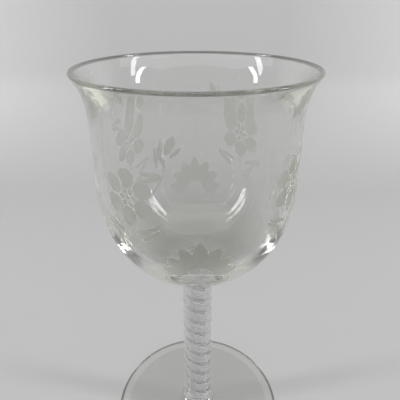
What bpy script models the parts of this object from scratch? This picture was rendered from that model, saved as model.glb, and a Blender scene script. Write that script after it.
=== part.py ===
# Stemmed wine glass: a blown bell bowl, a clear stem with white canes twisted inside it, and a conical foot.
# Metres, +Z up. The origin lies on the table, on the axis of the glass.
# The real pieces are fused to each other while hot; here each is its own solid, a hair's gap from the next.

import math

import bmesh
import bpy

# Whole glass
TOTAL_HEIGHT = 0.152
FUSED_GAP = 0.0003             # between two pieces that the real glass has fused together
JOINT_RADIUS = 0.0066          # where the stem meets the bowl and the foot
TURNED_SIDES = 48              # facets round the bowl and the foot

# Bowl, with depths measured down from the lip
RIM_RADIUS = 0.0366
RIM_WALL = 0.0013              # thickness of the fire-polished lip
FLARE_DEPTH = 0.0052           # how far down the lip's flare reaches
FLARE_SHARPNESS = 1.15
WAIST_PINCH = 0.0006           # how much narrower the waist is than the belly
BELLY_RADIUS = 0.03275
BELLY_DEPTH = 0.035
SIDE_WALL = 0.0026
BASE_THICKNESS = 0.0045
BOWL_DEPTH = 0.0722            # down to where the rounded bottom would close
BOTTOM_FULLNESS = 2.2          # 2 is a plain ellipse, more is squarer
NECK_LENGTH = 0.002            # the short neck under the bowl, which the stem meets
NECK_BLEND = 3                 # sharpness of the hollow curve from bottom to neck
SIDE_STEPS = 9
BOTTOM_STEPS = 10
LIP_STEPS = 6

# Stem
STEM_RADIUS = 0.00575
SWELL_LENGTH = 0.0011          # how quickly the stem swells out to its joints
STEM_SIDES = 32
SWELL_STEPS = 4

# Twist of white canes inside the stem
TWIST_PITCH = 0.0116           # rise of one turn
TWIST_STEPS = 10               # sections in one turn
BAND_COUNT = 2
THREADS_IN_BAND = 4
BAND_THREAD_RADIUS = 0.00028
BAND_COVER = 0.00097           # clear glass between the outer threads' slot and the stem's skin
CORE_THREAD_COUNT = 6
CORE_RADIUS = 0.0015           # axis of the glass to the middle of an inner thread
CORE_THREAD_RADIUS = 0.00025
THREAD_SIDES = 4
CUTTER_OVERRUN = 0.002         # how far a cutter stands out of what it cuts
TRIM_TOLERANCE = 0.00001       # a corner this near a trimming plane counts as on it

# Foot
FOOT_RADIUS = 0.0362
FOOT_HEIGHT = 0.0084           # table to the joint with the stem
FOOT_EDGE = 0.0026             # thickness at the rounded edge
CONE_RISE = 0.0055             # rise of the upper cone from the edge to the axis
SWEEP_LENGTH = 0.0015          # how quickly the cone sweeps up into the joint
REST_RING_WIDTH = 0.0032       # flat ring that stands on the table
HOLLOW_RISE = 0.0047           # height of the hollow cone under the foot
PONTIL_RADIUS = 0.0052         # ring scar where the pontil rod was snapped off
PONTIL_HEIGHT = 0.0008
PONTIL_WIDTH = 0.0013
CONE_STEPS = 7
EDGE_STEPS = 6
HOLLOW_STEPS = 9

# Places that follow from the sizes
BOWL_BASE_Z = TOTAL_HEIGHT - BOWL_DEPTH - NECK_LENGTH
STEM_TOP_Z = BOWL_BASE_Z - FUSED_GAP
STEM_BASE_Z = FOOT_HEIGHT + FUSED_GAP
BAND_RADIUS = STEM_RADIUS - BAND_COVER - FUSED_GAP - BAND_THREAD_RADIUS

CLEAR_GLASS = {"colour": (0.90, 0.92, 0.88, 1.0), "roughness": 0.03, "transmission": 1.0, "ior": 1.54}
WHITE_GLASS = {"colour": (0.86, 0.87, 0.86, 1.0), "roughness": 0.25, "transmission": 0.0, "ior": 1.5}


def clear_scene():
    for old in list(bpy.data.objects):
        bpy.data.objects.remove(old, do_unlink=True)


def glass_material(name, finish):
    material = bpy.data.materials.new(name)
    material.use_nodes = True
    shader = material.node_tree.nodes["Principled BSDF"]
    shader.inputs["Base Color"].default_value = finish["colour"]
    shader.inputs["Roughness"].default_value = finish["roughness"]
    shader.inputs["Metallic"].default_value = 0.0
    shader.inputs["Transmission Weight"].default_value = finish["transmission"]
    shader.inputs["IOR"].default_value = finish["ior"]
    return material


def add_object(name, bm, material=None):
    mesh = bpy.data.meshes.new(name)
    bm.to_mesh(mesh)
    bm.free()
    mesh.shade_smooth()
    mesh.set_sharp_from_angle(angle=math.radians(35))
    if material:
        mesh.materials.append(material)
    part = bpy.data.objects.new(name, mesh)
    bpy.context.collection.objects.link(part)
    return part


def spaced(start, end, steps):
    return [start + (end - start) * step / steps for step in range(steps + 1)]


def turned(name, profile, material=None, sides=TURNED_SIDES):
    # Spins a profile of (radius, height) points, which starts and ends on the axis, into a solid.
    bm = bmesh.new()
    corners = [bm.verts.new((radius, 0, height)) for radius, height in profile]
    edges = [bm.edges.new(pair) for pair in zip(corners, corners[1:])]
    bmesh.ops.spin(bm, geom=corners + edges, cent=(0, 0, 0), axis=(0, 0, 1), dvec=(0, 0, 0),
                   angle=2 * math.pi, steps=sides, use_merge=True)
    bmesh.ops.remove_doubles(bm, verts=bm.verts, dist=1e-6)
    bmesh.ops.recalc_face_normals(bm, faces=bm.faces)
    return add_object(name, bm, material)


def bowl_side(depth, belly_radius, lip_radius):
    # Wall above the belly: drawn in a little to a waist, then flared out to the lip.
    rise = (BELLY_DEPTH - depth) / BELLY_DEPTH
    waist = belly_radius - WAIST_PINCH * rise ** 2
    flare = lip_radius - (belly_radius - WAIST_PINCH)
    return waist + flare * math.exp(-(depth / FLARE_DEPTH) ** FLARE_SHARPNESS)


def bowl_bottom(angle, belly_radius, closed_depth, neck_radius):
    # Wall below the belly: a quarter of a full oval, from the belly (0) to the axis (90 degrees).
    # Where there is a neck, the wall runs into it in a hollow curve.
    power = 2 / BOTTOM_FULLNESS
    oval_radius = belly_radius * max(math.cos(angle), 0) ** power
    radius = (oval_radius ** NECK_BLEND + neck_radius ** NECK_BLEND) ** (1 / NECK_BLEND)
    depth = BELLY_DEPTH + (closed_depth - BELLY_DEPTH) * math.sin(angle) ** power
    return radius, depth


def bowl_wall(belly_radius, lip_radius, closed_depth, neck_radius=0.0):
    # One face of the bowl's wall, as (radius, depth) points from the lip down to the axis or the neck.
    lip_depth = RIM_WALL / 2
    # the depths crowd together in the flare, where the wall curves most
    depths = [lip_depth + (BELLY_DEPTH - lip_depth) * share ** 2 for share in spaced(0, 1, SIDE_STEPS)]
    side = [(bowl_side(depth - lip_depth, belly_radius, lip_radius), depth) for depth in depths[:-1]]
    angles = spaced(0, math.pi / 2, BOTTOM_STEPS)
    return side + [bowl_bottom(angle, belly_radius, closed_depth, neck_radius) for angle in angles]


def make_bowl(material):
    inner = bowl_wall(BELLY_RADIUS - SIDE_WALL, RIM_RADIUS - RIM_WALL, BOWL_DEPTH - BASE_THICKNESS)
    outer = bowl_wall(BELLY_RADIUS, RIM_RADIUS, BOWL_DEPTH, JOINT_RADIUS)
    lip_radius = RIM_WALL / 2
    lip = [(RIM_RADIUS - lip_radius - lip_radius * math.cos(angle), lip_radius - lip_radius * math.sin(angle))
           for angle in spaced(0, math.pi, LIP_STEPS)[1:-1]]
    neck = [(JOINT_RADIUS, BOWL_DEPTH + NECK_LENGTH), (0, BOWL_DEPTH + NECK_LENGTH)]
    depths = inner[::-1] + lip + outer + neck
    return turned("bowl", [(radius, TOTAL_HEIGHT - depth) for radius, depth in depths], material)


def make_foot(material):
    edge_radius = FOOT_EDGE / 2

    def cone_height(radius):
        cone = FOOT_EDGE + CONE_RISE * (1 - radius / FOOT_RADIUS)
        joint_cone = FOOT_EDGE + CONE_RISE * (1 - JOINT_RADIUS / FOOT_RADIUS)
        return cone + (FOOT_HEIGHT - joint_cone) * math.exp((JOINT_RADIUS - radius) / SWEEP_LENGTH)

    def hollow_height(radius):
        cone = HOLLOW_RISE * (1 - radius / ring_inside)
        return cone - PONTIL_HEIGHT * math.exp(-((radius - PONTIL_RADIUS) / PONTIL_WIDTH) ** 2)

    ring_inside = FOOT_RADIUS - edge_radius - REST_RING_WIDTH
    edge_start = FOOT_RADIUS - edge_radius
    # the radii crowd together near the joint, where the cone sweeps up
    cone_radii = [JOINT_RADIUS + (edge_start - JOINT_RADIUS) * share ** 2 for share in spaced(0, 1, CONE_STEPS)]
    edge = [(edge_start + edge_radius * math.sin(angle), edge_radius + edge_radius * math.cos(angle))
            for angle in spaced(0, math.pi, EDGE_STEPS)]
    hollow_radii = spaced(ring_inside, 0, HOLLOW_STEPS)[1:]
    profile = [(0, FOOT_HEIGHT)] + [(radius, cone_height(radius)) for radius in cone_radii[:-1]] + edge
    profile += [(ring_inside, 0)] + [(radius, hollow_height(radius)) for radius in hollow_radii]
    return turned("foot", profile, material)


def helix_sweep(name, section, phase, bottom, top, material=None):
    # Sweeps a section of (radius, height) points round the axis in a left-handed helix from bottom to top.
    turns = (top - bottom) / TWIST_PITCH
    count = math.ceil(turns * TWIST_STEPS)
    bm = bmesh.new()
    rings = []
    for step in range(count + 1):
        angle = phase - 2 * math.pi * step / TWIST_STEPS
        climb = bottom + TWIST_PITCH * step / TWIST_STEPS
        rings.append([bm.verts.new((radius * math.cos(angle), radius * math.sin(angle), climb + height))
                      for radius, height in section])
    for lower, upper in zip(rings, rings[1:]):
        for corner in range(len(section)):
            following = (corner + 1) % len(section)
            bm.faces.new((lower[corner], lower[following], upper[following], upper[corner]))
    bm.faces.new(rings[0])
    bm.faces.new(rings[-1])
    bmesh.ops.recalc_face_normals(bm, faces=bm.faces)
    return add_object(name, bm, material)


def trim_to_stem(thread):
    # Cuts a thread flush with the two end faces of the stem.
    bm = bmesh.new()
    bm.from_mesh(thread.data)
    for height, outward in ((STEM_BASE_Z, -1), (STEM_TOP_Z, 1)):
        bmesh.ops.bisect_plane(bm, geom=bm.verts[:] + bm.edges[:] + bm.faces[:], dist=TRIM_TOLERANCE,
                               plane_co=(0, 0, height), plane_no=(0, 0, outward), clear_outer=True)
        bmesh.ops.holes_fill(bm, edges=[edge for edge in bm.edges if edge.is_boundary], sides=0)
    bmesh.ops.recalc_face_normals(bm, faces=bm.faces)
    bm.to_mesh(thread.data)
    bm.free()


def thread_section(helix_radius, thread_radius, height=0.0):
    # A round thread, cut by a plane through the axis: as wide as the thread, but taller, as the thread climbs.
    climb = math.atan2(TWIST_PITCH, 2 * math.pi * helix_radius)
    angles = spaced(0, 2 * math.pi, THREAD_SIDES)[:-1]
    return [(helix_radius + thread_radius * math.cos(angle),
             height + thread_radius / math.cos(climb) * math.sin(angle)) for angle in angles]


def section_height(section):
    heights = [height for _, height in section]
    return max(heights) - min(heights)


def make_thread(name, section, phase, material):
    overrun = TWIST_PITCH / 2
    thread = helix_sweep(name, section, phase, STEM_BASE_Z - overrun, STEM_TOP_Z + overrun, material)
    trim_to_stem(thread)
    return thread


def cut(part, cutter):
    cutter.hide_render = True
    cutter.display_type = "WIRE"
    modifier = part.modifiers.new(f"cut_{cutter.name}", "BOOLEAN")
    modifier.operation = "DIFFERENCE"
    modifier.solver = "EXACT"
    modifier.object = cutter


def make_band(band, stem, clear_of, material):
    # One outer band: a helical slot through the stem, with its threads one above another in it.
    phase = 2 * math.pi * band / BAND_COUNT
    thread_height = section_height(thread_section(BAND_RADIUS, BAND_THREAD_RADIUS))
    spacing = thread_height + clear_of
    for place in range(THREADS_IN_BAND):
        height = spacing * (place - (THREADS_IN_BAND - 1) / 2)
        section = thread_section(BAND_RADIUS, BAND_THREAD_RADIUS, height)
        make_thread(f"band_{'ab'[band]}_thread_{place + 1}", section, phase, material)

    half_width = BAND_THREAD_RADIUS + clear_of
    half_height = (spacing * (THREADS_IN_BAND - 1) + thread_height) / 2 + clear_of
    slot = [(BAND_RADIUS - half_width, -half_height), (BAND_RADIUS + half_width, -half_height),
            (BAND_RADIUS + half_width, half_height), (BAND_RADIUS - half_width, half_height)]
    overrun = TWIST_PITCH / 2
    cut(stem, helix_sweep(f"slot_{'ab'[band]}", slot, phase, STEM_BASE_Z - overrun, STEM_TOP_Z + overrun))


def make_core(stem, clear_of, clear, white):
    # The inner gauze: threads wound round a thin clear cane, together in a bore down the stem's middle.
    for place in range(CORE_THREAD_COUNT):
        phase = 2 * math.pi * place / CORE_THREAD_COUNT
        section = thread_section(CORE_RADIUS, CORE_THREAD_RADIUS)
        make_thread(f"core_thread_{place + 1}", section, phase, white)

    cane_radius = CORE_RADIUS - CORE_THREAD_RADIUS - clear_of
    cane = [(0, STEM_TOP_Z), (cane_radius, STEM_TOP_Z), (cane_radius, STEM_BASE_Z), (0, STEM_BASE_Z)]
    turned("core_cane", cane, clear, THREAD_SIDES * 3)
    bore_radius = CORE_RADIUS + CORE_THREAD_RADIUS + clear_of
    bore = [(0, STEM_TOP_Z + CUTTER_OVERRUN), (bore_radius, STEM_TOP_Z + CUTTER_OVERRUN),
            (bore_radius, STEM_BASE_Z - CUTTER_OVERRUN), (0, STEM_BASE_Z - CUTTER_OVERRUN)]
    cut(stem, turned("core_bore", bore, sides=STEM_SIDES))


def make_stem(material):
    # A straight drawn rod that swells at both ends into its joints.
    swell = JOINT_RADIUS - STEM_RADIUS
    reach = SWELL_STEPS * SWELL_LENGTH
    offsets = [reach * (step / SWELL_STEPS) ** 2 for step in range(SWELL_STEPS + 1)]
    heights = [STEM_TOP_Z - offset for offset in offsets] + [STEM_BASE_Z + offset for offset in offsets[::-1]]
    side = []
    for height in heights:
        from_end = min(STEM_TOP_Z - height, height - STEM_BASE_Z)
        side.append((STEM_RADIUS + swell * math.exp(-from_end / SWELL_LENGTH), height))
    return turned("stem_rod", [(0, STEM_TOP_Z)] + side + [(0, STEM_BASE_Z)], material, STEM_SIDES)


def build():
    clear_scene()
    clear = glass_material("clear_glass", CLEAR_GLASS)
    white = glass_material("white_glass", WHITE_GLASS)
    make_bowl(clear)
    make_foot(clear)
    stem = make_stem(clear)
    for band in range(BAND_COUNT):
        make_band(band, stem, FUSED_GAP, white)
    make_core(stem, FUSED_GAP, clear, white)


build()
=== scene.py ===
import math

import bpy
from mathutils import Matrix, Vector


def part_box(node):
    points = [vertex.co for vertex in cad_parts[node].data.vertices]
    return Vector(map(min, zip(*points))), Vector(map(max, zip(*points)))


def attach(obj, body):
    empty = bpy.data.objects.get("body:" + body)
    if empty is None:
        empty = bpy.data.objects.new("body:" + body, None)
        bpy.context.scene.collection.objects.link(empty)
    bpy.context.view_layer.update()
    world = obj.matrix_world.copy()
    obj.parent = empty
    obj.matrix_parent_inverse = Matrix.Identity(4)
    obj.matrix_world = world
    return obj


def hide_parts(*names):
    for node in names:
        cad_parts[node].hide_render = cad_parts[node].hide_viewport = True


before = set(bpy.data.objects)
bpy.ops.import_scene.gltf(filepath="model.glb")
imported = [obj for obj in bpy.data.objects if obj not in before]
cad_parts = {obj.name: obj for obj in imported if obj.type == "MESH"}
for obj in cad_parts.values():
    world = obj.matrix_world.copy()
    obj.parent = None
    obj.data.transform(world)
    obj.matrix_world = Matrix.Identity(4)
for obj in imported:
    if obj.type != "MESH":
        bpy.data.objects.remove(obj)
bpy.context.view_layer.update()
print("frame loaded:", len(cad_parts), "nodes")

# lengths are in metres and angles in the dictionaries are in degrees
fullTurn = 2 * math.pi
mergeDistance = 1e-6
sameHeight = 1e-5
levelNormal = 0.99                     # a face whose normal points up or down by more than this is level


def deselectAll():
    if bpy.context.mode != "OBJECT":
        bpy.ops.object.mode_set(mode="OBJECT")
    bpy.ops.object.select_all(action="DESELECT")


def makeActive(piece):
    deselectAll()
    piece.select_set(True)
    bpy.context.view_layer.objects.active = piece


def spaced(start, end, steps):
    return [start + (end - start) * step / steps for step in range(steps + 1)]


def applyPlace(piece):
    makeActive(piece)
    bpy.ops.object.transform_apply(location=True, rotation=True, scale=True)


def applyModifiers(piece):
    makeActive(piece)
    for modifier in list(piece.modifiers):
        bpy.ops.object.modifier_apply(modifier=modifier.name)


def faceOutward(piece):
    makeActive(piece)
    bpy.ops.object.mode_set(mode="EDIT")
    bpy.ops.mesh.select_all(action="SELECT")
    bpy.ops.mesh.normals_make_consistent(inside=False)
    bpy.ops.object.mode_set(mode="OBJECT")


def copyOf(piece, name):
    makeActive(piece)
    bpy.ops.object.duplicate(linked=False)
    copy = bpy.context.object
    copy.name = copy.data.name = name
    return copy


def joined(pieces, name):
    makeActive(pieces[0])
    for piece in pieces:
        piece.select_set(True)
    bpy.ops.object.join()
    whole = bpy.context.object
    whole.name = whole.data.name = name
    return whole


def removePiece(piece):
    bpy.data.objects.remove(piece, do_unlink=True)


def firstPoint(name, place):
    # a small plane merged to a single vertex in edit mode, for an outline to be drawn from
    deselectAll()
    bpy.ops.mesh.primitive_plane_add(size=0.001, location=place)
    piece = bpy.context.object
    piece.name = piece.data.name = name
    applyPlace(piece)
    bpy.ops.object.mode_set(mode="EDIT")
    bpy.ops.mesh.merge(type="CENTER")
    return piece


def lathe(name, profile, steps):
    # the (radius, height) profile is drawn by extruding a vertex, then spun round the glass's axis
    piece = firstPoint(name, (profile[0][0], 0, profile[0][1]))
    for (radius, height), (nextRadius, nextHeight) in zip(profile, profile[1:]):
        move = (nextRadius - radius, 0, nextHeight - height)
        bpy.ops.mesh.extrude_vertices_move(TRANSFORM_OT_translate={"value": move})
    bpy.ops.mesh.select_all(action="SELECT")
    bpy.ops.mesh.spin(steps=steps, angle=fullTurn, center=(0, 0, 0), axis=(0, 0, 1))
    bpy.ops.mesh.select_all(action="SELECT")
    bpy.ops.mesh.remove_doubles(threshold=mergeDistance)
    bpy.ops.mesh.normals_make_consistent(inside=False)
    bpy.ops.object.mode_set(mode="OBJECT")
    return piece


def smooth(piece, sharpAngle):
    makeActive(piece)
    bpy.ops.object.shade_smooth_by_angle(angle=math.radians(sharpAngle))


def setMaterials(piece, *materials):
    piece.data.materials.clear()
    for material in materials:
        piece.data.materials.append(material)


def markFaces(piece, name, chosen):
    # a number on each face, 1 or 0, that the glass's material reads
    mark = piece.data.attributes.new(name, "FLOAT", "FACE")
    mark.data.foreach_set("value", [float(chosen(face)) for face in piece.data.polygons])


def markJoints(piece, *heights):
    # the flat faces where two pieces are fused: light crosses them unbent
    markFaces(piece, "fused", lambda face: abs(face.normal.z) > levelNormal
              and any(abs(face.center.z - height) < sameHeight for height in heights))


def addNode(material, kind, **values):
    node = material.node_tree.nodes.new(kind)
    for name, value in values.items():
        node.inputs[name.replace("_", " ")].default_value = value
    return node


def feed(material, socket, value):
    # a socket takes another node's output, a number or a colour
    if isinstance(value, bpy.types.NodeSocket):
        material.node_tree.links.new(value, socket)
    else:
        socket.default_value = (*value, 1) if isinstance(value, tuple) else value


def combined(material, operation, first, second):
    # two numbers of a material put together
    node = addNode(material, "ShaderNodeMath")
    node.operation = operation
    for socket, value in zip(node.inputs, (first, second)):
        feed(material, socket, value)
    return node.outputs["Value"]


def colourMix(material, share, first, second):
    node = addNode(material, "ShaderNodeMix")
    node.data_type = "RGBA"
    colours = [socket for socket in node.inputs if socket.type == "RGBA"]
    for socket, colour in zip(colours, (first, second)):
        feed(material, socket, colour)
    material.node_tree.links.new(share, node.inputs["Factor"])
    return [socket for socket in node.outputs if socket.type == "RGBA"][0]


def faceMark(material, name):
    node = addNode(material, "ShaderNodeAttribute")
    node.attribute_name = name
    return node.outputs["Fac"]


def newMaterial(name):
    material = bpy.data.materials.new(name)
    material.use_nodes = True
    return material, material.node_tree.nodes["Principled BSDF"], material.node_tree.links


glassLook = {
    # (height, tint): the glass's greenish tint with painted shade added, darkest in a band at the bowl's
    # thick base, lighter in the stem and foot below it and lightest in the thin wall above
    "tintsAndShade": [(0.0785, (0.83, 0.832, 0.822)), (0.0800, (0.36, 0.37, 0.325)), (0.0880, (0.66, 0.668, 0.615)),
              (0.1010, (0.92, 0.92, 0.915))],
    "edgeShade": (0.37, 0.375, 0.36),   # painted shade along the lip and the foot's edge
    "ior": 1.53,
    "absorbed": (0.69, 0.70, 0.65),    # colour that a thick stretch of the glass takes
    "absorbDensity": 12.0,             # per metre
    "shadow": (0.96, 0.96, 0.955),     # what one wall leaves of a lamp's light
    "seedScale": 160.0,                # faint unevenness of hand-made glass
    "seedDetail": 2,
    "seedBump": 0.045,
    "seedDepth": 0.001,
    "engravedTint": (0.66, 0.675, 0.61),
    "engravedRoughness": 0.42,
    "grindScale": 3200.0,              # marks of the engraving wheel
    "grindDetail": 2,
    "grindVariation": 0.25,
    "wornHeight": 0.0007,              # the foot is scratched dull up to here
    "wornRoughness": 0.45,
    "scratchScale": 2600.0,
    "scratchDetail": 3,
}


def glassRoughness(material, place):
    # polished but where it is engraved, and where the foot has slid on tables
    look = glassLook
    links = material.node_tree.links
    grind = addNode(material, "ShaderNodeTexNoise", Scale=look["grindScale"], Detail=look["grindDetail"])
    split = addNode(material, "ShaderNodeSeparateXYZ")
    low = addNode(material, "ShaderNodeMapRange", From_Min=look["wornHeight"], From_Max=0.0, To_Min=0.0,
                  To_Max=look["wornRoughness"])
    scratch = addNode(material, "ShaderNodeTexNoise", Scale=look["scratchScale"],
                      Detail=look["scratchDetail"])
    links.new(place, grind.inputs["Vector"])
    links.new(place, split.inputs["Vector"])
    links.new(split.outputs["Z"], low.inputs["Value"])
    links.new(place, scratch.inputs["Vector"])
    uneven = combined(material, "MULTIPLY", grind.outputs["Fac"], look["grindVariation"])
    ground = combined(material, "ADD", uneven, look["engravedRoughness"] - look["grindVariation"] / 2)
    engraved = combined(material, "MULTIPLY", faceMark(material, "engraved"), ground)
    worn = combined(material, "MULTIPLY", low.outputs["Result"], scratch.outputs["Fac"])
    return combined(material, "ADD", engraved, worn)


def glassTintAndShade(material, place):
    # the glass's tint with painted shade: a dark band at the bowl's base, and dark along the lip and the
    # foot's edge
    look = glassLook
    links = material.node_tree.links
    split = addNode(material, "ShaderNodeSeparateXYZ")
    ramp = addNode(material, "ShaderNodeValToRGB")
    stops = ramp.color_ramp.elements
    while len(stops) < len(look["tintsAndShade"]):
        stops.new(1)
    for stop, (height, tint) in zip(stops, look["tintsAndShade"]):
        stop.position = height
        stop.color = (*tint, 1)
    links.new(place, split.inputs["Vector"])
    links.new(split.outputs["Z"], ramp.inputs["Fac"])
    plain = ramp.outputs["Color"]
    # painted shade on the faces marked along the lip and the foot's edge
    edgeShaded = colourMix(material, faceMark(material, "edge"), plain, look["edgeShade"])
    return colourMix(material, faceMark(material, "engraved"), edgeShaded, look["engravedTint"])


def clearGlass():
    look = glassLook
    material, shader, links = newMaterial("leadGlass")
    shader.inputs["IOR"].default_value = look["ior"]
    shader.inputs["Transmission Weight"].default_value = 1
    place = addNode(material, "ShaderNodeTexCoord").outputs["Object"]
    links.new(glassTintAndShade(material, place), shader.inputs["Base Color"])
    uneven = addNode(material, "ShaderNodeTexNoise", Scale=look["seedScale"], Detail=look["seedDetail"])
    bump = addNode(material, "ShaderNodeBump", Strength=look["seedBump"], Distance=look["seedDepth"])
    links.new(place, uneven.inputs["Vector"])
    links.new(uneven.outputs["Fac"], bump.inputs["Height"])
    links.new(bump.outputs["Normal"], shader.inputs["Normal"])
    links.new(glassRoughness(material, place), shader.inputs["Roughness"])

    # straight through: all light at a joint, and else the light from lamps and matt surfaces, which the wall
    # would keep back, so that the glass throws a faint shadow only
    fused = faceMark(material, "fused")
    light = addNode(material, "ShaderNodeLightPath")
    unbent = combined(material, "MAXIMUM", light.outputs["Is Shadow Ray"], light.outputs["Is Diffuse Ray"])
    straight = combined(material, "MAXIMUM", unbent, fused)
    through = addNode(material, "ShaderNodeBsdfTransparent")
    mix = addNode(material, "ShaderNodeMixShader")
    absorb = addNode(material, "ShaderNodeVolumeAbsorption", Color=(*look["absorbed"], 1),
                     Density=look["absorbDensity"])
    output = material.node_tree.nodes["Material Output"]
    links.new(colourMix(material, fused, look["shadow"], (1, 1, 1)), through.inputs["Color"])
    links.new(straight, mix.inputs["Fac"])
    links.new(shader.outputs["BSDF"], mix.inputs[1])
    links.new(through.outputs["BSDF"], mix.inputs[2])
    links.new(mix.outputs["Shader"], output.inputs["Surface"])
    links.new(absorb.outputs["Volume"], output.inputs["Volume"])
    return material


whiteLook = {
    "colour": (0.95, 0.95, 0.96),
    "thin": (0.90, 0.90, 0.91),        # where the enamel is drawn thin
    "thinBelow": 0.35,                 # as shares of the streaks' noise
    "fullAbove": 0.6,
    "milky": 0.4,                      # share of the surface that passes light on
    "roughness": 0.5,
    "streakScale": 900.0,
}


def whiteGlass():
    look = whiteLook
    material, shader, links = newMaterial("whiteEnamelGlass")
    shader.inputs["Roughness"].default_value = look["roughness"]
    place = addNode(material, "ShaderNodeTexCoord")
    streak = addNode(material, "ShaderNodeTexNoise", Scale=look["streakScale"])
    ramp = addNode(material, "ShaderNodeValToRGB")
    thin, full = ramp.color_ramp.elements
    thin.color = (*look["thin"], 1)
    thin.position = look["thinBelow"]
    full.color = (*look["colour"], 1)
    full.position = look["fullAbove"]
    links.new(place.outputs["Object"], streak.inputs["Vector"])
    links.new(streak.outputs["Fac"], ramp.inputs["Fac"])
    links.new(ramp.outputs["Color"], shader.inputs["Base Color"])

    # some of the light passes on through the thin threads
    milky = addNode(material, "ShaderNodeBsdfTranslucent")
    mix = addNode(material, "ShaderNodeMixShader", Fac=look["milky"])
    links.new(ramp.outputs["Color"], milky.inputs["Color"])
    links.new(shader.outputs["BSDF"], mix.inputs[1])
    links.new(milky.outputs["BSDF"], mix.inputs[2])
    links.new(mix.outputs["Shader"], material.node_tree.nodes["Material Output"].inputs["Surface"])
    return material


leadGlass = clearGlass()
enamelGlass = whiteGlass()
print("materials made")

# places that the frame gives
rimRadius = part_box("bowl")[1][0]
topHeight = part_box("bowl")[1][2]
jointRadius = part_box("stem_rod")[1][0]
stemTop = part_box("stem_rod")[1][2]
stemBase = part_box("stem_rod")[0][2]
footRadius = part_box("foot")[1][0]
upperJoint = (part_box("bowl")[0][2] + stemTop) / 2
lowerJoint = (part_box("foot")[1][2] + stemBase) / 2

bowlShape = {
    "rimWall": 0.0013,
    "shadedLip": 0.0009,                # height of the painted shade line along the lip
    "flareDepth": 0.0052,
    "flareSharpness": 1.15,
    "waistPinch": 0.0006,
    "bellyRadius": 0.03275,
    "bellyDepth": 0.035,
    "sideWall": 0.0026,
    "baseThickness": 0.0045,
    "bowlDepth": 0.0722,
    "fullness": 2.2,
    "neckBlend": 3,
    "sideSteps": 40,
    "sidePacking": 1.6,                # crowds the side's points towards the lip
    "bottomSteps": 40,
    "lipSteps": 12,
    "spinSteps": 192,
    "sharpAngle": 40,
}


def bowlSide(depth, bellyRadius, lipRadius):
    shape = bowlShape
    rise = (shape["bellyDepth"] - depth) / shape["bellyDepth"]
    waist = bellyRadius - shape["waistPinch"] * rise ** 2
    flare = lipRadius - (bellyRadius - shape["waistPinch"])
    return waist + flare * math.exp(-(depth / shape["flareDepth"]) ** shape["flareSharpness"])


def bowlBottom(angle, bellyRadius, closedDepth, neckRadius):
    shape = bowlShape
    power = 2 / shape["fullness"]
    oval = bellyRadius * max(math.cos(angle), 0) ** power
    radius = (oval ** shape["neckBlend"] + neckRadius ** shape["neckBlend"]) ** (1 / shape["neckBlend"])
    depth = shape["bellyDepth"] + (closedDepth - shape["bellyDepth"]) * math.sin(angle) ** power
    return radius, depth


def bowlWall(bellyRadius, lipRadius, closedDepth, neckRadius=0.0):
    # one face of the wall, as (radius, depth) points from the lip down to the axis or the neck
    shape = bowlShape
    lipDepth = shape["rimWall"] / 2
    reach = shape["bellyDepth"] - lipDepth
    depths = [lipDepth + reach * share ** shape["sidePacking"] for share in spaced(0, 1, shape["sideSteps"])]
    side = [(bowlSide(depth - lipDepth, bellyRadius, lipRadius), depth) for depth in depths[:-1]]
    angles = spaced(0, math.pi / 2, shape["bottomSteps"])
    return side + [bowlBottom(angle, bellyRadius, closedDepth, neckRadius) for angle in angles]


def makeBowl():
    shape = bowlShape
    inner = bowlWall(shape["bellyRadius"] - shape["sideWall"], rimRadius - shape["rimWall"],
                     shape["bowlDepth"] - shape["baseThickness"])
    outer = bowlWall(shape["bellyRadius"], rimRadius, shape["bowlDepth"], jointRadius)
    lipRadius = shape["rimWall"] / 2
    lip = [(rimRadius - lipRadius - lipRadius * math.cos(angle), lipRadius - lipRadius * math.sin(angle))
           for angle in spaced(0, math.pi, shape["lipSteps"])[1:-1]]
    jointDepth = topHeight - upperJoint
    wall = inner[::-1] + lip + outer + [(jointRadius, jointDepth), (0, jointDepth)]
    return lathe("bowlGlass", [(radius, topHeight - depth) for radius, depth in wall], shape["spinSteps"])


bowl = makeBowl()
print("bowl made")

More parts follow.
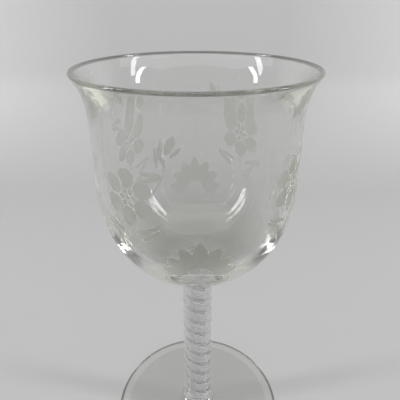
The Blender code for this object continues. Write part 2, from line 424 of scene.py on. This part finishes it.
engraving = {
    "depth": 0.00012,
    "frontY": -0.06,                   # the sprays are drawn on a flat sheet here, then pressed on the bowl
    "ovalSides": 16,
    "ovalRings": 2,
    "ringWidth": 0.16,                 # share of the oval's width
    "petals": 6,
    "petalReach": 0.0056,
    "petalLength": 0.0058,
    "petalWidth": 0.0052,
    "innerReach": 0.0020,
    "innerLength": 0.0020,
    "innerWidth": 0.0014,
    "heart": 0.0014,
    "flowerHeight": 0.1225,
    "leafWidth": 0.42,                 # share of the leaf's length
    "leafPoint": 0.12,                 # how far the tip is drawn out, as a share of the length
    "halfApart": 0.58,                 # share of a half's width
    "halfLean": 7,
    # leaves as (across, above the flower, lean, length)
    "leaves": [(-0.0062, -0.0105, -62, 0.0075), (0.0064, -0.0098, 58, 0.0075),
               (-0.0040, -0.0152, -38, 0.0062), (0.0078, 0.0072, 75, 0.0060), (0.0100, 0.0125, -10, 0.0052)],
    "bud": (0.0128, 0.0160, 24),       # across, above the flower, lean
    "budLength": 0.0052,
    "budWidth": 0.0021,
    "budPoint": 0.1,
    "sepalReach": 0.85,                # share of the bud's width
    "sepalDrop": 0.0012,
    "sepalLean": 20,
    "sepalLength": 0.7,                # share of the bud's length
    "sepalWidth": 0.45,                # share of the bud's width
    "sepalPoint": 0.15,
    "stalkWidth": 0.00042,
    "stalkSteps": 14,
    # stalks as (centre across, centre above the flower, radius, start, sweep)
    "stalks": [(0.0150, -0.0120, 0.0150, 180, -38), (-0.0035, 0.0125, 0.0150, 0, -62)],
    "spraysAt": (56, 146, 236, 326),   # degrees round from the front
    "palmLeaves": 7,
    "palmFoot": 0.0980,
    "palmReach": 0.0050,
    "palmLength": 0.0082,
    "palmWidth": 0.0042,
    "palmSpread": 78,                  # lean of the outermost leaves
    "palmMiddle": 1.25,                # the middle leaf's length, in palmLengths
    "palmFade": 200,                   # lean that would take one palmLength away
    "palmOut": 0.3,                    # share of its length by which a leaf stands further out
    "palmPoint": 0.04,
    "palmsAt": (2, 92, 182, 272),
}


def flatOval(across, height, lean, length, width, point=0.0):
    # an oval with rings of faces inside it, whose tip may be drawn out to a point
    look = engraving
    deselectAll()
    bpy.ops.mesh.primitive_circle_add(vertices=look["ovalSides"], radius=0.5, fill_type="NGON",
                                      rotation=(math.pi / 2, 0, 0))
    oval = bpy.context.object
    oval.scale = (width, length, 1)
    applyPlace(oval)
    if point:
        tip = max(oval.data.vertices, key=lambda corner: corner.co.z)
        tip.co.z += point * length
    bpy.ops.object.mode_set(mode="EDIT")
    bpy.ops.mesh.select_all(action="SELECT")
    for ring in range(look["ovalRings"]):
        bpy.ops.mesh.inset(thickness=width * look["ringWidth"])
    bpy.ops.mesh.poke()
    bpy.ops.object.mode_set(mode="OBJECT")
    oval.rotation_euler.y = math.radians(lean)
    oval.location = (across, look["frontY"], height)
    applyPlace(oval)
    return oval


def flatStalk(across, height, radius, start, sweep):
    look = engraving
    angle = math.radians(start)
    inner = radius - look["stalkWidth"] / 2
    corner = (across + inner * math.cos(angle), look["frontY"], height + inner * math.sin(angle))
    stalk = firstPoint("stalk", corner)
    out = (look["stalkWidth"] * math.cos(angle), 0, look["stalkWidth"] * math.sin(angle))
    bpy.ops.mesh.extrude_vertices_move(TRANSFORM_OT_translate={"value": out})
    bpy.ops.mesh.select_all(action="SELECT")
    bpy.ops.mesh.spin(steps=look["stalkSteps"], angle=math.radians(sweep),
                      center=(across, look["frontY"], height), axis=(0, 1, 0))
    bpy.ops.object.mode_set(mode="OBJECT")
    return stalk


def flatLeaf(across, height, lean, length):
    # two halves either side of a clear midrib
    look = engraving
    width = length * look["leafWidth"] / 2
    angle = math.radians(lean)
    apart = width * look["halfApart"]
    return [flatOval(across + side * apart * math.cos(angle), height - side * apart * math.sin(angle),
                     lean - side * look["halfLean"], length, width, look["leafPoint"]) for side in (-1, 1)]


def flatFlower(height):
    look = engraving
    ovals = [flatOval(0, height, 0, look["heart"], look["heart"])]
    rings = ((look["petalReach"], look["petalLength"], look["petalWidth"], 0.0),
             (look["innerReach"], look["innerLength"], look["innerWidth"], 0.5))
    for reach, length, width, offset in rings:
        for petal in range(look["petals"]):
            lean = (petal + offset) / look["petals"] * fullTurn
            ovals.append(flatOval(reach * math.sin(lean), height + reach * math.cos(lean), math.degrees(lean),
                                  length, width))
    return ovals


def flatBud(across, height, lean):
    # a closed bud between two sepals
    look = engraving
    angle = math.radians(lean)
    drop = look["sepalDrop"]
    ovals = [flatOval(across, height, lean, look["budLength"], look["budWidth"], look["budPoint"])]
    for side in (-1, 1):
        reach = side * look["budWidth"] * look["sepalReach"]
        ovals.append(flatOval(across + reach * math.cos(angle) - drop * math.sin(angle),
                              height - reach * math.sin(angle) - drop * math.cos(angle),
                              lean + side * look["sepalLean"], look["budLength"] * look["sepalLength"],
                              look["budWidth"] * look["sepalWidth"], look["sepalPoint"]))
    return ovals


def flatSpray():
    look = engraving
    height = look["flowerHeight"]
    pieces = flatFlower(height)
    for across, above, lean, length in look["leaves"]:
        pieces += flatLeaf(across, height + above, lean, length)
    across, above, lean = look["bud"]
    pieces += flatBud(across, height + above, lean)
    for across, above, radius, start, sweep in look["stalks"]:
        pieces.append(flatStalk(across, height + above, radius, start, sweep))
    return joined(pieces, "spray")


def flatPalm():
    # a fan of leaves low on the bowl, between two sprays
    look = engraving
    leaves = []
    for lean in spaced(-look["palmSpread"], look["palmSpread"], look["palmLeaves"] - 1):
        angle = math.radians(lean)
        length = look["palmLength"] * (look["palmMiddle"] - abs(lean) / look["palmFade"])
        reach = look["palmReach"] + length * look["palmOut"]
        leaves.append(flatOval(reach * math.sin(angle), look["palmFoot"] + reach * math.cos(angle), lean,
                               length, look["palmWidth"], look["palmPoint"]))
    return joined(leaves, "palm")


def pressOn(drawing, target):
    # lays the flat drawing on the bowl's front and gives it thickness, half of it inside the wall
    press = drawing.modifiers.new("press", "SHRINKWRAP")
    press.target = target
    press.wrap_method = "PROJECT"
    press.use_project_y = True
    press.use_positive_direction = True
    press.use_negative_direction = False
    thicken = drawing.modifiers.new("thicken", "SOLIDIFY")
    thicken.thickness = 2 * engraving["depth"]
    thicken.offset = 0
    applyModifiers(drawing)
    faceOutward(drawing)


def engraveBowl():
    look = engraving
    setMaterials(bowl, leadGlass)
    cutters = []
    for drawing, turns in ((flatSpray(), look["spraysAt"]), (flatPalm(), look["palmsAt"])):
        pressOn(drawing, bowl)
        setMaterials(drawing, enamelGlass)
        for turn in turns:
            cutter = copyOf(drawing, "engravingWheel")
            cutter.rotation_euler.z = math.radians(turn)
            applyPlace(cutter)
            cutters.append(cutter)
        removePiece(drawing)
    cutter = joined(cutters, "engravingWheel")
    cut = bowl.modifiers.new("engrave", "BOOLEAN")
    cut.operation = "DIFFERENCE"
    cut.solver = "EXACT"
    cut.material_mode = "TRANSFER"
    cut.use_self = True                # stalks run under leaves
    cut.object = cutter
    applyModifiers(bowl)
    removePiece(cutter)
    # the cutter's own material, in the second slot, tells which faces it cut
    markFaces(bowl, "engraved", lambda face: face.material_index == 1)
    setMaterials(bowl, leadGlass)


engraveBowl()
smooth(bowl, bowlShape["sharpAngle"])
markJoints(bowl, upperJoint)
# faces along the lip are marked for painted shade
markFaces(bowl, "edge", lambda face: face.center.z > topHeight - bowlShape["shadedLip"])
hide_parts("bowl")
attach(bowl, "root")
print("bowl engraved:", len(bowl.data.polygons), "faces,", len(bowl.data.materials), "materials")

stemShape = {
    "radius": 0.00575,
    "swellLength": 0.0011,
    "swellReach": 4.5,                 # how far the swelling is drawn, in swell lengths
    "swellSteps": 14,
    "spinSteps": 96,
    "sharpAngle": 40,
}


def makeStem():
    shape = stemShape
    swell = jointRadius - shape["radius"]
    reach = shape["swellReach"] * shape["swellLength"]
    offsets = spaced(0, reach, shape["swellSteps"])
    heights = [upperJoint - offset for offset in offsets] + [lowerJoint + offset for offset in offsets[::-1]]
    side = []
    for height in heights:
        fromEnd = min(upperJoint - height, height - lowerJoint)
        side.append((shape["radius"] + swell * math.exp(-fromEnd / shape["swellLength"]), height))
    stem = lathe("stemGlass", [(0, upperJoint)] + side + [(0, lowerJoint)], shape["spinSteps"])
    smooth(stem, shape["sharpAngle"])
    setMaterials(stem, leadGlass)
    markJoints(stem, upperJoint, lowerJoint)
    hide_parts("stem_rod", "core_cane")
    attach(stem, "root")


makeStem()
print("stem made")

twistShape = {
    "pitch": 0.0116,
    "stepsPerTurn": 36,
    "threadSides": 10,
    "overrun": 1.5,                    # turns beyond each end of the stem, to be cut off
    "sharpAngle": 50,
    "bandCount": 2,
    "threadsInBand": 4,
    "bandRadius": 0.0042,
    "bandThread": 0.00028,
    "bandGap": 0.0003,
    "coreThreads": 6,
    "coreRadius": 0.0015,
    "coreThread": 0.00025,
}


def climbAngle(helixRadius):
    return math.atan2(twistShape["pitch"], fullTurn * helixRadius)


def longThread(helixRadius, threadRadius):
    # a thread that overruns the stem at both ends; its section stands upright, so it is taller than wide
    shape = twistShape
    start = stemBase - shape["overrun"] * shape["pitch"]
    deselectAll()
    bpy.ops.mesh.primitive_circle_add(vertices=shape["threadSides"], radius=threadRadius,
                                      location=(helixRadius, 0, start), rotation=(math.pi / 2, 0, 0))
    thread = bpy.context.object
    applyPlace(thread)
    bpy.ops.object.mode_set(mode="EDIT")
    bpy.ops.transform.resize(value=(1, 1, 1 / math.cos(climbAngle(helixRadius))),
                             center_override=(helixRadius, 0, start))
    bpy.ops.object.mode_set(mode="OBJECT")
    screw = thread.modifiers.new("twist", "SCREW")
    screw.axis = "Z"
    screw.angle = -fullTurn
    screw.screw_offset = shape["pitch"]
    screw.iterations = math.ceil((stemTop - stemBase) / shape["pitch"]) + round(2 * shape["overrun"])
    screw.steps = screw.render_steps = shape["stepsPerTurn"]
    screw.use_merge_vertices = False
    applyModifiers(thread)
    return thread


def laidThread(model, name, node, lift, turn):
    # a copy of the long thread, turned and lifted into place and cut flush with the stem's ends
    thread = copyOf(model, name)
    thread.location.z = lift
    thread.rotation_euler.z = turn
    applyPlace(thread)
    bpy.ops.object.mode_set(mode="EDIT")
    for height, outward in ((stemTop, 1), (stemBase, -1)):
        bpy.ops.mesh.select_all(action="SELECT")
        bpy.ops.mesh.bisect(plane_co=(0, 0, height), plane_no=(0, 0, outward), use_fill=True,
                            clear_outer=True)
    bpy.ops.mesh.select_all(action="SELECT")
    bpy.ops.mesh.remove_doubles(threshold=mergeDistance)
    bpy.ops.mesh.normals_make_consistent(inside=False)
    bpy.ops.object.mode_set(mode="OBJECT")
    smooth(thread, twistShape["sharpAngle"])
    setMaterials(thread, enamelGlass)
    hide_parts(node)
    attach(thread, "root")


def makeTwist():
    shape = twistShape
    model = longThread(shape["bandRadius"], shape["bandThread"])
    spacing = 2 * shape["bandThread"] / math.cos(climbAngle(shape["bandRadius"])) + shape["bandGap"]
    for band, letter in enumerate("ab"[:shape["bandCount"]]):
        for place in range(shape["threadsInBand"]):
            lift = spacing * (place - (shape["threadsInBand"] - 1) / 2)
            laidThread(model, f"whiteBand{letter.upper()}{place + 1}", f"band_{letter}_thread_{place + 1}",
                       lift, fullTurn * band / shape["bandCount"])
    removePiece(model)
    model = longThread(shape["coreRadius"], shape["coreThread"])
    for place in range(shape["coreThreads"]):
        laidThread(model, f"whiteCore{place + 1}", f"core_thread_{place + 1}", 0,
                   fullTurn * place / shape["coreThreads"])
    removePiece(model)


makeTwist()
print("twist made")

footShape = {
    "edge": 0.0026,
    "coneRise": 0.0055,
    "sweepLength": 0.0015,
    "restRing": 0.0032,
    "hollowRise": 0.0047,
    "pontilRadius": 0.0052,
    "pontilHeight": 0.0008,
    "pontilWidth": 0.0013,
    "coneSteps": 40,
    "conePacking": 2,                  # crowds the cone's points towards the stem
    "edgeSteps": 16,
    "hollowSteps": 48,
    "spinSteps": 160,
    "sharpAngle": 40,
}


def makeFoot():
    shape = footShape
    edgeRadius = shape["edge"] / 2
    edgeStart = footRadius - edgeRadius
    ringInside = edgeStart - shape["restRing"]

    def coneHeight(radius):
        cone = shape["edge"] + shape["coneRise"] * (1 - radius / footRadius)
        jointCone = shape["edge"] + shape["coneRise"] * (1 - jointRadius / footRadius)
        return cone + (lowerJoint - jointCone) * math.exp((jointRadius - radius) / shape["sweepLength"])

    def hollowHeight(radius):
        scar = math.exp(-((radius - shape["pontilRadius"]) / shape["pontilWidth"]) ** 2)
        return shape["hollowRise"] * (1 - radius / ringInside) - shape["pontilHeight"] * scar

    reach = edgeStart - jointRadius
    coneRadii = [jointRadius + reach * share ** shape["conePacking"]
                 for share in spaced(0, 1, shape["coneSteps"])]
    edge = [(edgeStart + edgeRadius * math.sin(angle), edgeRadius + edgeRadius * math.cos(angle))
            for angle in spaced(0, math.pi, shape["edgeSteps"])]
    profile = [(0, lowerJoint)] + [(radius, coneHeight(radius)) for radius in coneRadii[:-1]] + edge
    profile += [(ringInside, 0)]
    profile += [(radius, hollowHeight(radius)) for radius in spaced(ringInside, 0, shape["hollowSteps"])[1:]]
    foot = lathe("footGlass", profile, shape["spinSteps"])
    smooth(foot, shape["sharpAngle"])
    setMaterials(foot, leadGlass)
    markJoints(foot, lowerJoint)
    # faces round the foot's edge are marked for painted shade
    markFaces(foot, "edge", lambda face: face.center.to_2d().length > edgeStart)
    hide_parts("foot")
    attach(foot, "root")


makeFoot()
print("foot made")

stageLook = {
    "roughness": 0.9,
    "specular": 0.1,
    "floorGrey": 0.52,
    "paintedLightTop": 0.08,                # the painted light is at its full strength from here up
    "paintedWallLight": 0.28,                  # painted light making the wall lighter, as a share
    "paintedSideLight": 0.36,                  # and more painted light at its sides beyond that
    "sideStart": 0.09,
    "sideEnd": 0.25,
    "width": 3.0,
    "front": -1.5,
    "wallStart": 0.22,
    "wallRadius": 0.10,
    "wallHeight": 1.2,
    "sweepSteps": 24,
}


def palePaper():
    # matt paper of one grey, with painted light making it lighter up the wall and more so at its sides
    look = stageLook
    material, shader, links = newMaterial("palePaper")
    shader.inputs["Roughness"].default_value = look["roughness"]
    shader.inputs["Specular IOR Level"].default_value = look["specular"]
    place = addNode(material, "ShaderNodeTexCoord")
    split = addNode(material, "ShaderNodeSeparateXYZ")
    up = addNode(material, "ShaderNodeMapRange", From_Min=0.0, From_Max=look["paintedLightTop"], To_Min=0.0,
                 To_Max=1.0)
    side = addNode(material, "ShaderNodeMapRange", From_Min=look["sideStart"], From_Max=look["sideEnd"],
                   To_Min=0.0, To_Max=look["paintedSideLight"])
    grey = addNode(material, "ShaderNodeCombineColor")
    links.new(place.outputs["Object"], split.inputs["Vector"])
    links.new(split.outputs["Z"], up.inputs["Value"])
    links.new(combined(material, "ABSOLUTE", split.outputs["X"], 0), side.inputs["Value"])
    # painted light: lighter up the wall and more so at its sides
    rise = combined(material, "ADD", side.outputs["Result"], look["paintedWallLight"])
    paintedLift = combined(material, "MULTIPLY", rise, up.outputs["Result"])
    level = combined(material, "MULTIPLY", combined(material, "ADD", paintedLift, 1), look["floorGrey"])
    for channel in ("Red", "Green", "Blue"):
        links.new(level, grey.inputs[channel])
    links.new(grey.outputs["Color"], shader.inputs["Base Color"])
    return material


def makeStage():
    # a sheet of paper that sweeps up from the floor into a wall
    look = stageLook
    sweep = firstPoint("paleSweep", (-look["width"] / 2, look["front"], 0))
    bpy.ops.mesh.extrude_vertices_move(TRANSFORM_OT_translate={"value": (look["width"], 0, 0)})
    bpy.ops.mesh.select_all(action="SELECT")
    back = (0, look["wallStart"] - look["front"], 0)
    bpy.ops.mesh.extrude_edges_move(TRANSFORM_OT_translate={"value": back})
    bpy.ops.mesh.spin(steps=look["sweepSteps"], angle=-math.pi / 2,
                      center=(0, look["wallStart"], look["wallRadius"]), axis=(1, 0, 0))
    bpy.ops.mesh.extrude_edges_move(TRANSFORM_OT_translate={"value": (0, 0, look["wallHeight"])})
    bpy.ops.object.mode_set(mode="OBJECT")
    bpy.ops.object.shade_smooth()
    setMaterials(sweep, palePaper())


lampLook = {
    "world": 0.24,
    "bounces": 128,
    "panelPower": 1.5,
    "panelPlace": (0.6, -0.12, 0.42),
    "panelTarget": (0, 0, 0.1),
    "panelSize": (0.065, 0.5),
    "topPower": 9.2,
    "topPlace": (0, 0.1, 0.9),
    "topTarget": (0, 0, 0),
    "topSize": (1.6, 1.6),
}


def areaLamp(name, place, target, size, power):
    deselectAll()
    bpy.ops.object.light_add(type="AREA", location=place)
    lamp = bpy.context.object
    lamp.name = name
    lamp.data.shape = "RECTANGLE"
    lamp.data.size, lamp.data.size_y = size
    lamp.data.energy = power
    lamp.rotation_euler = (Vector(target) - Vector(place)).to_track_quat("-Z", "Y").to_euler()


def makeLamps():
    look = lampLook
    world = bpy.data.worlds.new("paleRoom")
    bpy.context.scene.world = world
    world.use_nodes = True
    background = world.node_tree.nodes["Background"]
    background.inputs["Color"].default_value = (1, 1, 1, 1)
    background.inputs["Strength"].default_value = look["world"]
    across, back, up = look["panelPlace"]
    for name, side in (("panelLeft", -1), ("panelRight", 1)):
        place = (side * across, back, up)
        areaLamp(name, place, look["panelTarget"], look["panelSize"], look["panelPower"])
    areaLamp("softTop", look["topPlace"], look["topTarget"], look["topSize"], look["topPower"])
    # light runs a long way inside thick glass before it comes out
    for limit in ("max_bounces", "glossy_bounces", "transmission_bounces"):
        setattr(bpy.context.scene.cycles, limit, look["bounces"])


cameraView = {
    "place": (0.00106, -0.1197, 0.1696),
    "pitch": 27.4,                     # how far it looks down
    "lens": 35.08,                     # lens and sensor in millimetres
    "sensor": 36,
    "clipStart": 0.005,
}


def makeCamera():
    view = cameraView
    deselectAll()
    bpy.ops.object.camera_add(location=view["place"], rotation=(math.radians(90 - view["pitch"]), 0, 0))
    camera = bpy.context.object
    camera.name = "photoView"
    camera.data.lens = view["lens"]
    camera.data.sensor_width = view["sensor"]
    camera.data.clip_start = view["clipStart"]
    bpy.context.scene.camera = camera


makeStage()
makeLamps()
makeCamera()
bpy.context.scene.view_settings.view_transform = "Standard"
print("stage, lamps and camera made")
